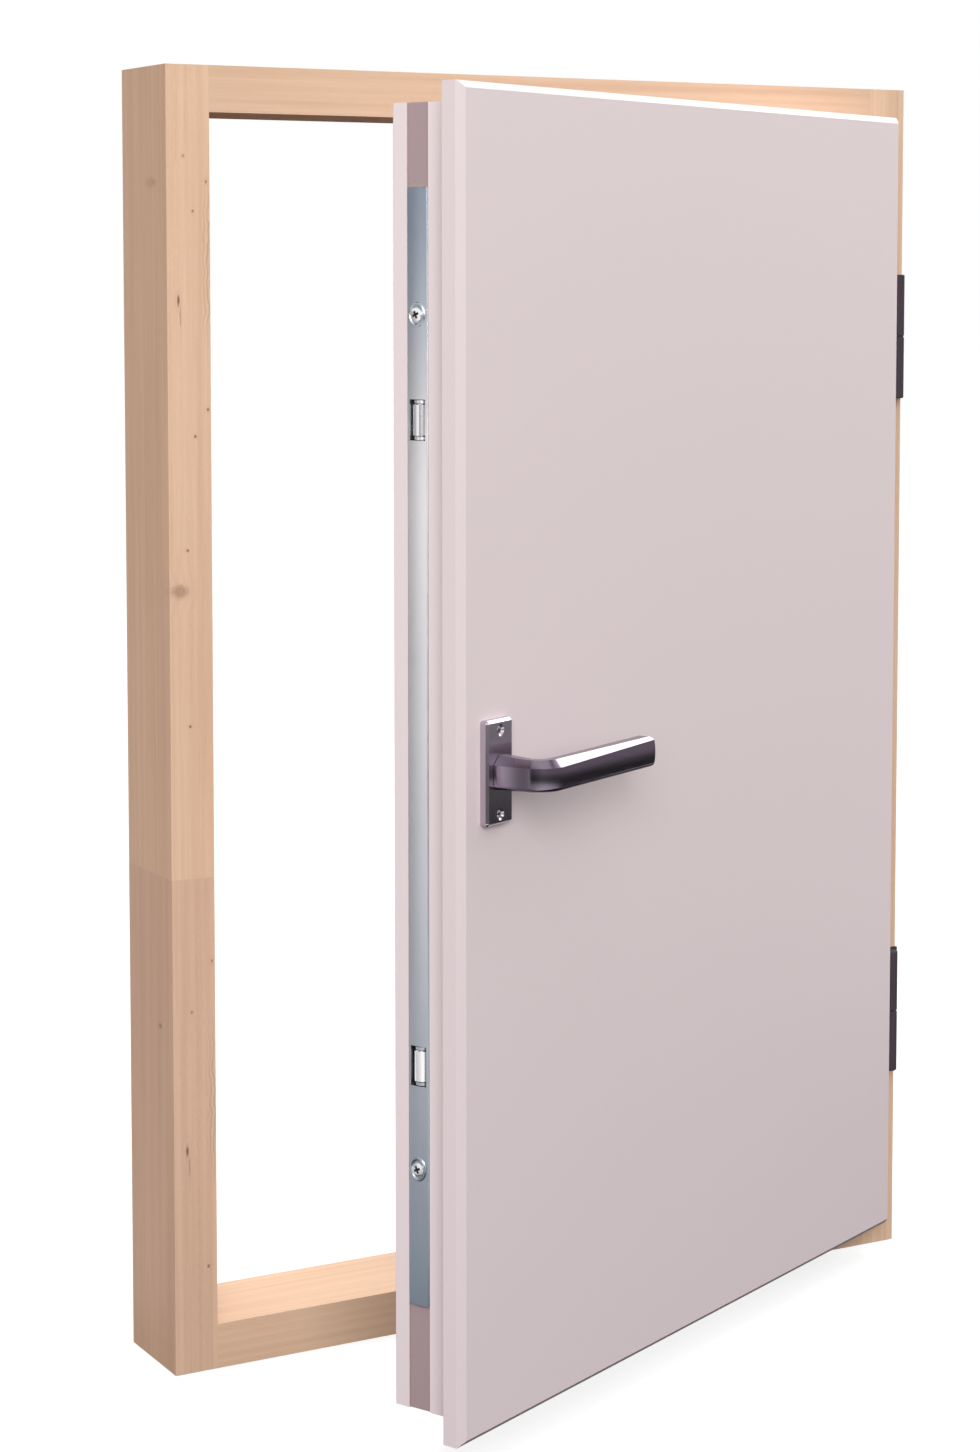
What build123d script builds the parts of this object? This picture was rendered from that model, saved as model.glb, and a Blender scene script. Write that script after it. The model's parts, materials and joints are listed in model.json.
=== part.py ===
from build123d import *
import os

# Crawl space door: an insulated, rebated leaf on two lift-off hinges in a plain softwood frame.
# Millimetres, +Z up, the outside of the door faces -Y.
# The origin is the middle of the sill's underside.
# The leaf is drawn shut, then swung out to the angle at which the door stands.

# Frame
FRAME_WIDTH = 680.0
FRAME_HEIGHT = 1000.0
FRAME_DEPTH = 86.0
FRAME_MEMBER = 35.0
FRAME_ARRIS = 1.0

# Leaf: a bevelled front panel that overlaps the frame, and a block that fills the opening
SIDE_MARGIN = 28.0
END_MARGIN = 25.0
PANEL_THICKNESS = 16.5
PANEL_BEVEL = 5.0
PANEL_GAP = 5.0
BLOCK_DEPTH = 54.2
BLOCK_CLEARANCE = 5.0
END_CLEARANCE = 3.0
LOCK_SIDE_CLEARANCE = 8.5
BLOCK_ARRIS = 1.0
STILE_WIDTH = 60.0
BACK_PANEL_THICKNESS = 8.0
OPEN_ANGLE = 25.0

# Hinges, each with a plate on the frame's face and a cranked plate let into the leaf
HINGE_HEIGHT = 105.0
HINGE_FROM_TOP = 209.0
HINGE_FROM_BOTTOM = 208.0
HINGE_AXIS_INSET = 13.5
HINGE_AXIS_OUT = 11.5
HINGE_BARREL_RADIUS = 6.0
HINGE_BARREL_EDGE = 0.8
HINGE_PIN_RADIUS = 3.0
HINGE_PIN_FIT = 0.05
HINGE_CAP = 4.0
HINGE_KNUCKLE_GAP = 0.4
FRAME_PLATE_WIDTH = 26.0
FRAME_PLATE_THICKNESS = 2.5
FRAME_WEB = 3.0
LEAF_PLATE_THICKNESS = 2.0
LEAF_PLATE_DEPTH = 30.0

# Lock rail on the leaf's edge, with two bolts that a lever drives
RAIL_WIDTH = 18.0
RAIL_FROM_TOP = 58.5
RAIL_FROM_BOTTOM = 76.5
RAIL_DEPTH = 11.0
RAIL_PROUD = 1.0
RAIL_CROWN = 0.8
RAIL_WALL = 2.0
RAIL_EDGE_RADIUS = 1.6
RAIL_SIDE_FIT = 0.2
STRIP_DEPTH = 1.5
RAIL_FROM_PANEL = 32.6
RAIL_SCREW_FROM_TOP = 87.5
RAIL_SCREW_FROM_BOTTOM = 98.5
RAIL_SCREW_HOLE = 4.6
RAIL_SCREW_SINK = 9.5
BOLT_FROM_TOP = 160.5
BOLT_FROM_BOTTOM = 172.5
SLOT_HEIGHT = 28.6
SLOT_WIDTH = 13.4
BOLT_SLOT_FIT = 0.5
BOLT_WIDTH = 10.4
BOLT_LENGTH = 34.0
BOLT_TRAVEL = 18.0
EAR_THICKNESS = 2.2
ROLLER_RADIUS = 6.1
ROLLER_FIT = 0.3
ROLLER_EDGE = 0.6
ROLLER_PIN_RADIUS = 2.2
ROLLER_PROUD = 0.6
MORTISE_CLEARANCE = 5.0

# Strike plates and the pockets behind them in the lock jamb
STRIKE_THICKNESS = 2.0
STRIKE_BORDER_ENDS = 16.0
STRIKE_BORDER_SIDES = 6.0
STRIKE_CORNER = 4.0
STRIKE_CLEARANCE = 5.5

# Lever handle
HANDLE_HEIGHT = 499.0
HANDLE_FROM_EDGE = 36.5
PLATE_WIDTH = 30.5
PLATE_LENGTH = 74.0
PLATE_THICKNESS = 6.5
PLATE_CORNER = 2.5
PLATE_BEVEL = 1.8
PLATE_SCREW_SPACING = 59.0
PLATE_SCREW_HOLE = 4.6
PLATE_SCREW_SINK = 8.4
LEVER_LENGTH = 130.0
LEVER_PROJECTION = 50.0
GRIP_HEIGHT = 22.0
GRIP_DEPTH = 12.0
GRIP_CROWN = 0.7
GRIP_FACET_AT_BEND = 4.6
GRIP_FACET_AT_TIP = 2.2
GRIP_CORNER = 3.0
LEVER_LIFT = 0.9
TIP_BOW = 1.2
TIP_CORNER = 4.0
LEVER_BEND = 14.0
NECK_HEIGHT = 24.0
NECK_DEPTH = 15.0
NECK_CROWN = 1.0
NECK_FACET = 5.4
NECK_CORNER = 4.2
NECK_SEAT = 0.3
BUSH_RADIUS = 6.2
BUSH_FIT = 0.3
BUSH_END_FIT = 0.3
SPINDLE_SIDE = 8.0
SPINDLE_LENGTH = 48.0
SPINDLE_FIT = 0.8

# Planes and edges that several pieces share, with the leaf shut
FRONT = -FRAME_DEPTH / 2
BACK = FRAME_DEPTH / 2
OUTER = FRAME_WIDTH / 2
INNER = OUTER - FRAME_MEMBER
PANEL_BACK = FRONT - PANEL_GAP
PANEL_FRONT = PANEL_BACK - PANEL_THICKNESS
PANEL_SIDE = OUTER - SIDE_MARGIN
PANEL_BOTTOM = END_MARGIN
PANEL_TOP = FRAME_HEIGHT - END_MARGIN
BLOCK_BACK = PANEL_BACK + BLOCK_DEPTH
BLOCK_LOCK = -INNER + LOCK_SIDE_CLEARANCE
BLOCK_HINGE = INNER - BLOCK_CLEARANCE
BLOCK_BOTTOM = FRAME_MEMBER + END_CLEARANCE
BLOCK_TOP = FRAME_HEIGHT - FRAME_MEMBER - END_CLEARANCE
HINGE_MIDDLES = {"upper": FRAME_HEIGHT - HINGE_FROM_TOP, "lower": HINGE_FROM_BOTTOM}
HINGE_X = OUTER - HINGE_AXIS_INSET
HINGE_Y = FRONT - HINGE_AXIS_OUT
HINGE_AXIS = Axis((HINGE_X, HINGE_Y, 0), (0, 0, 1))
RAIL_Y = PANEL_BACK + RAIL_FROM_PANEL
RAIL_FACE = BLOCK_LOCK - RAIL_PROUD
GROOVE_FLOOR = RAIL_FACE + RAIL_DEPTH
RAIL_BOTTOM = BLOCK_BOTTOM + RAIL_FROM_BOTTOM
RAIL_TOP = BLOCK_TOP - RAIL_FROM_TOP
RAIL_SCREW_HEIGHTS = (RAIL_BOTTOM + RAIL_SCREW_FROM_BOTTOM, RAIL_TOP - RAIL_SCREW_FROM_TOP)
BOLT_MIDDLES = {"upper": RAIL_TOP - BOLT_FROM_TOP, "lower": RAIL_BOTTOM + BOLT_FROM_BOTTOM}
HANDLE_X = -PANEL_SIDE + HANDLE_FROM_EDGE
BUSH_END = PANEL_FRONT - BUSH_END_FIT
BOLT_HEIGHT = SLOT_HEIGHT - 2 * BOLT_SLOT_FIT
SPINDLE_HOLE = SPINDLE_SIDE / 2 ** 0.5 + SPINDLE_FIT


def block(x0, x1, y0, y1, z0, z1):
    """A box between two corners."""
    size = Box(x1 - x0, y1 - y0, z1 - z0, align=Align.MIN)
    return Pos(x0, y0, z0) * size


def upright(radius, x, y, z0, z1):
    """A cylinder that stands on its axis."""
    return Pos(x, y, z0) * Cylinder(radius, z1 - z0, align=(Align.CENTER, Align.CENTER, Align.MIN))


def across(radius, x, z, y0, y1):
    """A cylinder that lies along the depth of the door."""
    turned = Rot(-90, 0, 0) * Cylinder(radius, y1 - y0, align=(Align.CENTER, Align.CENTER, Align.MIN))
    return Pos(x, y0, z) * turned


def ease(solid, axis, radius):
    """Take the arris off the edges that run along one axis."""
    return fillet(solid.edges().filter_by(axis), radius)


def swung(solid):
    """Swing a piece of the leaf out to the angle at which the door stands."""
    return solid.rotate(HINGE_AXIS, OPEN_ANGLE)


def spindle_bore(y0, y1):
    return across(SPINDLE_HOLE, HANDLE_X, HANDLE_HEIGHT, y0, y1)


def strike_pocket(middle, grow, depth):
    """The space that a thrown bolt needs in the lock jamb, grown on every side."""
    half_width = max(BOLT_WIDTH / 2, ROLLER_RADIUS) + STRIKE_CLEARANCE + grow[0]
    half_height = BOLT_HEIGHT / 2 + STRIKE_CLEARANCE + grow[1]
    return block(-INNER - depth, -INNER, RAIL_Y - half_width, RAIL_Y + half_width,
                 middle - half_height, middle + half_height)


def thrown_depth():
    """How far a thrown bolt reaches into the lock jamb."""
    return BOLT_TRAVEL + ROLLER_PROUD - (RAIL_FACE + INNER)


def strike_blank(middle):
    return strike_pocket(middle, (STRIKE_BORDER_SIDES, STRIKE_BORDER_ENDS), STRIKE_THICKNESS)


# Frame pieces
def jamb_blank(side):
    """A jamb on the left or right, with eased outer arrises and flush joints to the head and sill."""
    jamb = block(-OUTER, -INNER, FRONT, BACK, 0, FRAME_HEIGHT)
    jamb = fillet(jamb.edges().filter_by(Axis.Z).group_by(Axis.X)[0], FRAME_ARRIS)
    return jamb if side < 0 else jamb.mirror(Plane.YZ)


def lock_jamb():
    jamb = jamb_blank(-1)
    for middle in BOLT_MIDDLES.values():
        jamb -= ease(strike_blank(middle), Axis.X, STRIKE_CORNER)
        jamb -= strike_pocket(middle, (0, 0), thrown_depth() + STRIKE_CLEARANCE)
    return jamb


def hinge_jamb():
    return jamb_blank(1)


def head():
    return block(-INNER, INNER, FRONT, BACK, FRAME_HEIGHT - FRAME_MEMBER, FRAME_HEIGHT)


def sill():
    return block(-INNER, INNER, FRONT, BACK, 0, FRAME_MEMBER)


def strike(middle):
    """A plate let in flush, with a window for the bolt."""
    plate = ease(strike_blank(middle), Axis.X, STRIKE_CORNER)
    return plate - strike_pocket(middle, (0, 0), STRIKE_THICKNESS)


# Leaf pieces
def hinge_recess(middle):
    """The seat of a cranked hinge plate: a step across the panel's back and down the block's side."""
    z0 = middle - HINGE_HEIGHT / 2
    z1 = middle + HINGE_HEIGHT / 2
    inside = BLOCK_HINGE - LEAF_PLATE_THICKNESS
    ledge = block(inside, PANEL_SIDE, PANEL_BACK - LEAF_PLATE_THICKNESS, PANEL_BACK, z0, z1)
    cheek = block(inside, BLOCK_HINGE, PANEL_BACK - LEAF_PLATE_THICKNESS,
                  PANEL_BACK + LEAF_PLATE_DEPTH, z0, z1)
    return ledge + cheek


def front_panel():
    panel = block(-PANEL_SIDE, PANEL_SIDE, PANEL_FRONT, PANEL_BACK, PANEL_BOTTOM, PANEL_TOP)
    front_edges = panel.faces().sort_by(Axis.Y)[0].edges()
    panel = chamfer(front_edges, PANEL_BEVEL)
    panel -= spindle_bore(PANEL_FRONT, PANEL_BACK)
    for middle in HINGE_MIDDLES.values():
        panel -= hinge_recess(middle)
    return panel


def lock_stile():
    """The stile with a bare strip down its edge, a pocket for the lock rail and a mortise for each bolt."""
    stile = block(BLOCK_LOCK, BLOCK_LOCK + STILE_WIDTH, PANEL_BACK, BLOCK_BACK, BLOCK_BOTTOM, BLOCK_TOP)
    back_edges = stile.edges().filter_by(Axis.Z).group_by(Axis.Y)[-1].sort_by(Axis.X)[0]
    stile = fillet(back_edges, BLOCK_ARRIS)
    half = RAIL_WIDTH / 2 + RAIL_SIDE_FIT
    stile -= block(BLOCK_LOCK, BLOCK_LOCK + STRIP_DEPTH, RAIL_Y - half, RAIL_Y + half,
                   BLOCK_BOTTOM, BLOCK_TOP)
    stile -= block(BLOCK_LOCK, GROOVE_FLOOR, RAIL_Y - half, RAIL_Y + half, RAIL_BOTTOM - RAIL_SIDE_FIT,
                   RAIL_TOP + RAIL_SIDE_FIT)
    bolt_end = RAIL_FACE - ROLLER_PROUD + BOLT_LENGTH
    for middle in BOLT_MIDDLES.values():
        stile -= block(GROOVE_FLOOR, bolt_end + MORTISE_CLEARANCE, RAIL_Y - SLOT_WIDTH / 2,
                       RAIL_Y + SLOT_WIDTH / 2, middle - SLOT_HEIGHT / 2, middle + SLOT_HEIGHT / 2)
    spindle_end = PANEL_FRONT - PLATE_THICKNESS + SPINDLE_LENGTH
    stile -= spindle_bore(PANEL_BACK, spindle_end + MORTISE_CLEARANCE)
    return stile


def hinge_stile():
    stile = block(BLOCK_HINGE - STILE_WIDTH, BLOCK_HINGE, PANEL_BACK, BLOCK_BACK, BLOCK_BOTTOM, BLOCK_TOP)
    back_edge = stile.edges().filter_by(Axis.Z).group_by(Axis.Y)[-1].sort_by(Axis.X)[-1]
    stile = fillet(back_edge, BLOCK_ARRIS)
    for middle in HINGE_MIDDLES.values():
        stile -= hinge_recess(middle)
    return stile


def leaf_rail(z0, z1):
    return block(BLOCK_LOCK + STILE_WIDTH, BLOCK_HINGE - STILE_WIDTH, PANEL_BACK, BLOCK_BACK, z0, z1)


def filling(y0, y1):
    """A layer between the stiles and rails of the leaf."""
    return block(BLOCK_LOCK + STILE_WIDTH, BLOCK_HINGE - STILE_WIDTH, y0, y1,
                 BLOCK_BOTTOM + STILE_WIDTH, BLOCK_TOP - STILE_WIDTH)


# Lock pieces
def lock_rail():
    """A rolled channel with its crowned web outwards, a window for each bolt and two sunk screw holes."""
    left = RAIL_Y + RAIL_WIDTH / 2
    right = RAIL_Y - RAIL_WIDTH / 2
    shoulder = RAIL_FACE + RAIL_CROWN
    web = ThreePointArc((shoulder, right), (RAIL_FACE, RAIL_Y), (shoulder, left))
    sides = Polyline((shoulder, left), (GROOVE_FLOOR, left), (GROOVE_FLOOR, right), (shoulder, right))
    channel = Pos(0, 0, RAIL_BOTTOM) * extrude(make_face(web + sides), RAIL_TOP - RAIL_BOTTOM, dir=(0, 0, 1))
    shoulders = channel.edges().filter_by(Axis.Z).group_by(Axis.X)[0]
    channel = fillet(shoulders, RAIL_EDGE_RADIUS)
    channel -= block(RAIL_FACE + RAIL_WALL, GROOVE_FLOOR, right + RAIL_WALL, left - RAIL_WALL,
                     RAIL_BOTTOM, RAIL_TOP)
    for middle in BOLT_MIDDLES.values():
        channel -= block(RAIL_FACE, RAIL_FACE + RAIL_WALL, RAIL_Y - SLOT_WIDTH / 2,
                         RAIL_Y + SLOT_WIDTH / 2, middle - SLOT_HEIGHT / 2, middle + SLOT_HEIGHT / 2)
    sink = Cone(RAIL_SCREW_SINK / 2, RAIL_SCREW_HOLE / 2, RAIL_WALL,
                align=(Align.CENTER, Align.CENTER, Align.MIN))
    for height in RAIL_SCREW_HEIGHTS:
        channel -= Pos(RAIL_FACE, RAIL_Y, height) * (Rot(0, 90, 0) * sink)
    return channel


def roller_span(middle):
    half = BOLT_HEIGHT / 2 - EAR_THICKNESS - ROLLER_FIT
    return middle - half, middle + half


def roller_axis_x():
    return RAIL_FACE - ROLLER_PROUD + ROLLER_RADIUS


def bolt(middle):
    """A fork with rounded ears, a riveted pin and a square shank that slides in the rail's window."""
    x = roller_axis_x()
    z0 = middle - BOLT_HEIGHT / 2
    z1 = middle + BOLT_HEIGHT / 2
    back = RAIL_FACE - ROLLER_PROUD + BOLT_LENGTH
    fork = block(x, back, RAIL_Y - BOLT_WIDTH / 2, RAIL_Y + BOLT_WIDTH / 2, z0, z1)
    fork += upright(BOLT_WIDTH / 2, x, RAIL_Y, z0, z1)
    low, high = roller_span(middle)
    throat = x + ROLLER_RADIUS + ROLLER_FIT
    fork -= block(x - ROLLER_RADIUS, throat, RAIL_Y - BOLT_WIDTH, RAIL_Y + BOLT_WIDTH,
                  low - ROLLER_FIT, high + ROLLER_FIT)
    return fork + upright(ROLLER_PIN_RADIUS, x, RAIL_Y, z0, z1)


def roller(middle):
    low, high = roller_span(middle)
    x = roller_axis_x()
    drum = upright(ROLLER_RADIUS, x, RAIL_Y, low, high)
    drum = chamfer(drum.edges().filter_by(GeomType.CIRCLE), ROLLER_EDGE)
    return drum - upright(ROLLER_PIN_RADIUS + ROLLER_FIT, x, RAIL_Y, low, high)


# Handle pieces
def handle_plate():
    face = Plane(origin=(HANDLE_X, PANEL_FRONT, HANDLE_HEIGHT), x_dir=(1, 0, 0), z_dir=(0, -1, 0))
    plate = extrude(face * RectangleRounded(PLATE_WIDTH, PLATE_LENGTH, PLATE_CORNER), PLATE_THICKNESS)
    plate = chamfer(plate.faces().sort_by(Axis.Y)[0].edges(), PLATE_BEVEL)
    outside = PANEL_FRONT - PLATE_THICKNESS
    plate -= across(BUSH_RADIUS + BUSH_FIT, HANDLE_X, HANDLE_HEIGHT, outside, PANEL_FRONT)
    sink_depth = (PLATE_SCREW_SINK - PLATE_SCREW_HOLE) / 2
    sink = Cone(PLATE_SCREW_SINK / 2, PLATE_SCREW_HOLE / 2, sink_depth,
                align=(Align.CENTER, Align.CENTER, Align.MIN))
    for side in (-1, 1):
        height = HANDLE_HEIGHT + side * PLATE_SCREW_SPACING / 2
        plate -= across(PLATE_SCREW_HOLE / 2, HANDLE_X, height, outside, PANEL_FRONT)
        plate -= Pos(HANDLE_X, outside, height) * (Rot(-90, 0, 0) * sink)
    return plate


def bar_section(height, depth, crown, corner):
    """The bar's section: crowned front on the left, sharp above it, rounded below it and bevelled behind."""
    front = -depth / 2
    top = height / 2
    bow = ThreePointArc((front, -top), (front - crown, 0), (front, top))
    rest = Polyline((front, top), (-front, top), (-front, -top), (front, -top))
    section = make_face(bow + rest)
    section = fillet([v for v in section.vertices() if v.X < 0 and v.Y < 0], corner)
    return chamfer([v for v in section.vertices() if v.X > 0], corner / 2)


def faceted(section, height, depth, facet):
    """The section without its sharp corner, which a slanting facet cuts off."""
    front = -depth / 2
    top = height / 2
    corner = Polyline((front - facet, top - 2 * facet), (front + 2 * facet, top + facet),
                      (front - facet, top + facet), close=True)
    return section - make_face(corner)


def tip_outline(tip):
    """The grip's outline seen from the front, with a bowed end and rounded corners."""
    half = GRIP_HEIGHT / 2
    bow = ThreePointArc((-TIP_BOW, half), (0, 0), (-TIP_BOW, -half))
    sides = Polyline((-TIP_BOW, half), (-LEVER_LENGTH, half), (-LEVER_LENGTH, -half), (-TIP_BOW, -half))
    outline = make_face(bow + sides)
    outline = fillet(outline.vertices().group_by(Axis.X)[-1], TIP_CORNER)
    face = Plane(origin=tip, x_dir=(1, 0, 0), z_dir=(0, -1, 0))
    return extrude(face * outline, GRIP_DEPTH, both=True)


def facet_plane(bend_end, tip):
    """The plane of the grip's facet, which narrows from the bend to the tip."""
    start, end = (point + Vector(0, -GRIP_DEPTH / 2, GRIP_HEIGHT / 2 - facet)
                  for point, facet in ((bend_end, GRIP_FACET_AT_BEND), (tip, GRIP_FACET_AT_TIP)))
    return Plane(origin=start, x_dir=end - start, z_dir=(end - start).cross(Vector(0, 1, 1)))


def lever():
    """A cranked bar with a facet along its top, a neck that flares to the plate, and a bush in the plate.

    At rest it stands a little above level.
    """
    seat = PANEL_FRONT - PLATE_THICKNESS - NECK_SEAT
    grip_y = PANEL_FRONT - LEVER_PROJECTION + GRIP_DEPTH / 2
    bend_start = Vector(HANDLE_X, grip_y + LEVER_BEND, HANDLE_HEIGHT)
    bend_end = Vector(HANDLE_X + LEVER_BEND, grip_y, HANDLE_HEIGHT)
    tip = Vector(HANDLE_X + LEVER_LENGTH, grip_y, HANDLE_HEIGHT)
    neck_planes = [Plane(origin=point, x_dir=(1, 0, 0), z_dir=(0, -1, 0))
                   for point in (Vector(HANDLE_X, seat, HANDLE_HEIGHT), bend_start)]
    root = faceted(bar_section(NECK_HEIGHT, NECK_DEPTH, NECK_CROWN, NECK_CORNER), NECK_HEIGHT, NECK_DEPTH,
                   NECK_FACET)
    bar = bar_section(GRIP_HEIGHT, GRIP_DEPTH, GRIP_CROWN, GRIP_CORNER)
    bend_section = neck_planes[1] * faceted(bar, GRIP_HEIGHT, GRIP_DEPTH, GRIP_FACET_AT_BEND)
    neck = loft([neck_planes[0] * root, bend_section], ruled=True)
    bend = sweep(bend_section, path=RadiusArc(bend_start, bend_end, -LEVER_BEND))
    grip = extrude(Plane(origin=bend_end, x_dir=(0, 1, 0), z_dir=(1, 0, 0)) * bar, tip.X - bend_end.X)
    grip = split(grip & tip_outline(tip), bisect_by=facet_plane(bend_end, tip), keep=Keep.BOTTOM)
    bush = across(BUSH_RADIUS, HANDLE_X, HANDLE_HEIGHT, seat, BUSH_END)
    level = neck + bend + grip + bush
    return level.rotate(Axis((HANDLE_X, 0, HANDLE_HEIGHT), (0, -1, 0)), LEVER_LIFT)


def spindle():
    half = SPINDLE_SIDE / 2
    return block(HANDLE_X - half, HANDLE_X + half, BUSH_END,
                 PANEL_FRONT - PLATE_THICKNESS + SPINDLE_LENGTH, HANDLE_HEIGHT - half, HANDLE_HEIGHT + half)


# Hinge pieces
def hinge_split(middle):
    """The heights of one hinge: bottom, top of the frame's knuckle, bottom of the leaf's, top."""
    return (middle - HINGE_HEIGHT / 2, middle - HINGE_KNUCKLE_GAP / 2,
            middle + HINGE_KNUCKLE_GAP / 2, middle + HINGE_HEIGHT / 2)


def knuckle(z0, z1):
    barrel = upright(HINGE_BARREL_RADIUS, HINGE_X, HINGE_Y, z0, z1)
    return chamfer(barrel.edges().filter_by(GeomType.CIRCLE), HINGE_BARREL_EDGE)


def hinge_frame_half(middle):
    """A flat plate on the frame's face, with a web out to the lower knuckle."""
    z0, z1, _, top = hinge_split(middle)
    plate = block(OUTER - FRAME_PLATE_WIDTH, OUTER, FRONT - FRAME_PLATE_THICKNESS, FRONT, z0, top)
    web = block(HINGE_X - FRAME_WEB / 2, HINGE_X + FRAME_WEB / 2, HINGE_Y, FRONT - FRAME_PLATE_THICKNESS,
                z0, z1)
    half = plate + web + knuckle(z0, z1)
    return half - upright(HINGE_PIN_RADIUS + HINGE_PIN_FIT, HINGE_X, HINGE_Y, z0, z1)


def hinge_leaf_half(middle):
    """A cranked plate let into the leaf, that runs out to the upper knuckle with a blind bore."""
    _, _, z0, z1 = hinge_split(middle)
    tongue = block(BLOCK_HINGE, HINGE_X, PANEL_BACK - LEAF_PLATE_THICKNESS, PANEL_BACK, z0, z1)
    half = hinge_recess(middle) + tongue + knuckle(z0, z1)
    bore_top = z1 - HINGE_CAP + HINGE_KNUCKLE_GAP
    return half - upright(HINGE_PIN_RADIUS + HINGE_PIN_FIT, HINGE_X, HINGE_Y, z0, bore_top)


def hinge_pin(middle):
    z0, _, _, z1 = hinge_split(middle)
    return upright(HINGE_PIN_RADIUS, HINGE_X, HINGE_Y, z0, z1 - HINGE_CAP)


def pieces():
    """Every piece under its own name, the moving ones at the angle at which the door stands."""
    found = {
        "lock_jamb": lock_jamb(),
        "hinge_jamb": hinge_jamb(),
        "head": head(),
        "sill": sill(),
        "front_panel": swung(front_panel()),
        "lock_stile": swung(lock_stile()),
        "hinge_stile": swung(hinge_stile()),
        "top_rail": swung(leaf_rail(BLOCK_TOP - STILE_WIDTH, BLOCK_TOP)),
        "bottom_rail": swung(leaf_rail(BLOCK_BOTTOM, BLOCK_BOTTOM + STILE_WIDTH)),
        "insulation_core": swung(filling(PANEL_BACK, BLOCK_BACK - BACK_PANEL_THICKNESS)),
        "back_panel": swung(filling(BLOCK_BACK - BACK_PANEL_THICKNESS, BLOCK_BACK)),
        "lock_rail": swung(lock_rail()),
        "handle_plate": swung(handle_plate()),
        "lever": swung(lever()),
        "spindle": swung(spindle()),
    }
    for level, middle in BOLT_MIDDLES.items():
        found[f"{level}_strike"] = strike(middle)
        found[f"{level}_bolt"] = swung(bolt(middle))
        found[f"{level}_roller"] = swung(roller(middle))
    for level, middle in HINGE_MIDDLES.items():
        found[f"{level}_hinge_frame_half"] = hinge_frame_half(middle)
        found[f"{level}_hinge_leaf_half"] = swung(hinge_leaf_half(middle))
        found[f"{level}_hinge_pin"] = hinge_pin(middle)
    return found


os.makedirs("parts", exist_ok=True)
for name, solid in pieces().items():
    export_step(solid, f"parts/{name}.step")
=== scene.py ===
import json
import math

import bmesh
import bpy
from bpy.props import FloatProperty, FloatVectorProperty, PointerProperty
from bpy.types import Operator, Panel, PropertyGroup
from mathutils import Matrix, Vector


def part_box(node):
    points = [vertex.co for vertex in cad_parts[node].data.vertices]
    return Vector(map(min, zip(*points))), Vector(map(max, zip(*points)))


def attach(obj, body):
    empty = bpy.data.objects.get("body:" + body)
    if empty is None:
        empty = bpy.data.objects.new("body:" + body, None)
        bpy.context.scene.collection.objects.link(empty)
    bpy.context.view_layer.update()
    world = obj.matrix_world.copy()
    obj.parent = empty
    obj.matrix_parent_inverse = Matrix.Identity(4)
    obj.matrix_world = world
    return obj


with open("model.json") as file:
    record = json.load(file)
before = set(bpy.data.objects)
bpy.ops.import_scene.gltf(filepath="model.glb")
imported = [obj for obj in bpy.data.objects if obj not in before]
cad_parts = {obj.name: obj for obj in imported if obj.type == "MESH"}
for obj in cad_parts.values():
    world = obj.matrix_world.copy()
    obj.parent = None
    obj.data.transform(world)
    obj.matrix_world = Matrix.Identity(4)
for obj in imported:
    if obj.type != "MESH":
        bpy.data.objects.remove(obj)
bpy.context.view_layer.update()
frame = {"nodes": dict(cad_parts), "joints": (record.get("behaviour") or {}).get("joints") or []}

# Crawl space door: finishes for every solid of the frame, the leaf, the lock and the hinges,
# the screws that hold the fittings, and the studio in which the door stands ajar.
# Metres, +Z up, the outside of the door faces -Y.

bl_info = {
    "name": "Crawl space door",
    "version": (1, 0, 0),
    "blender": (4, 5, 0),
    "location": "View3D > Sidebar > Crawl door",
    "description": "Finishes, screws and studio for an insulated crawl space door",
    "category": "Object",
}

MM = 0.001

# Where the leaf hangs, and how far it stands open
SWING = next(joint for joint in frame["joints"] if joint["name"] == "door_swing")
HINGE_POINT = Vector(SWING["pos_m"])
OPEN_ANGLE = -math.radians(SWING["range_deg"][0])
LEAF_TO_ROOM = (Matrix.Translation(HINGE_POINT) @ Matrix.Rotation(OPEN_ANGLE, 4, "Z")
                @ Matrix.Translation(-HINGE_POINT))
FRAME_LOW, FRAME_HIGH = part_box("lock_jamb")


def colour(name, description, value):
    return FloatVectorProperty(name=name, description=description, default=value, size=3,
                               min=0.0, max=1.0, subtype="COLOR")


def amount(name, description, value, unit="NONE"):
    return FloatProperty(name=name, description=description, default=value, min=0.0, unit=unit)


def length(name, description, value):
    return amount(name, description, value, "LENGTH")


class CRAWLDOOR_PG_finishes(PropertyGroup):
    """Colours of the door's finishes"""
    early_wood: colour("Early wood", "Pale part of a growth ring in the pine frame", (0.755, 0.527, 0.37))
    late_wood: colour("Late wood", "Dark line of a growth ring in the pine frame", (0.50, 0.29, 0.185))
    knot_wood: colour("Knot wood", "Heart of a knot in the pine frame", (0.17, 0.085, 0.065))
    paint: colour("Leaf paint", "Satin paint of the leaf", (0.80, 0.69, 0.692))
    board: colour("Bare board", "Unpainted strip down the leaf's lock edge", (0.42, 0.31, 0.315))
    # The zinc colours carry a painted reflection: the first is the rail at the peak of its painted sheen, the
    # second darker and bluer away from it.
    zinc: colour("Zinc", "Galvanised steel of the lock rail and bolts", (0.82, 0.825, 0.82))
    zinc_off_sheen: colour("Dull zinc", "The same steel where it is less worn", (0.31, 0.37, 0.43))
    polished: colour("Polished steel", "Rollers, screws and pins", (0.88, 0.885, 0.89))
    # Painted shade: the colour given to the bottom of a cross recess.
    recess: colour("Recess", "Dark bottom of a screw's cross recess", (0.035, 0.035, 0.04))
    nickel: colour("Satin nickel", "Plate of the handle", (0.55, 0.495, 0.555))
    # Painted reflection: the lever's nickel is a darker, more purple copy of the plate's, for the dark
    # surroundings it reflects.
    nickel_painted_dark: colour("Dark nickel", "Lever of the handle", (0.262, 0.214, 0.276))
    hinge: colour("Hinge coat", "Dark powder coat of the hinges", (0.062, 0.046, 0.060))
    pin: colour("Hinge pin", "Oiled steel of the hinge pins", (0.10, 0.09, 0.10))
    wool: colour("Mineral wool", "Filling inside the leaf", (0.72, 0.66, 0.42))


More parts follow.
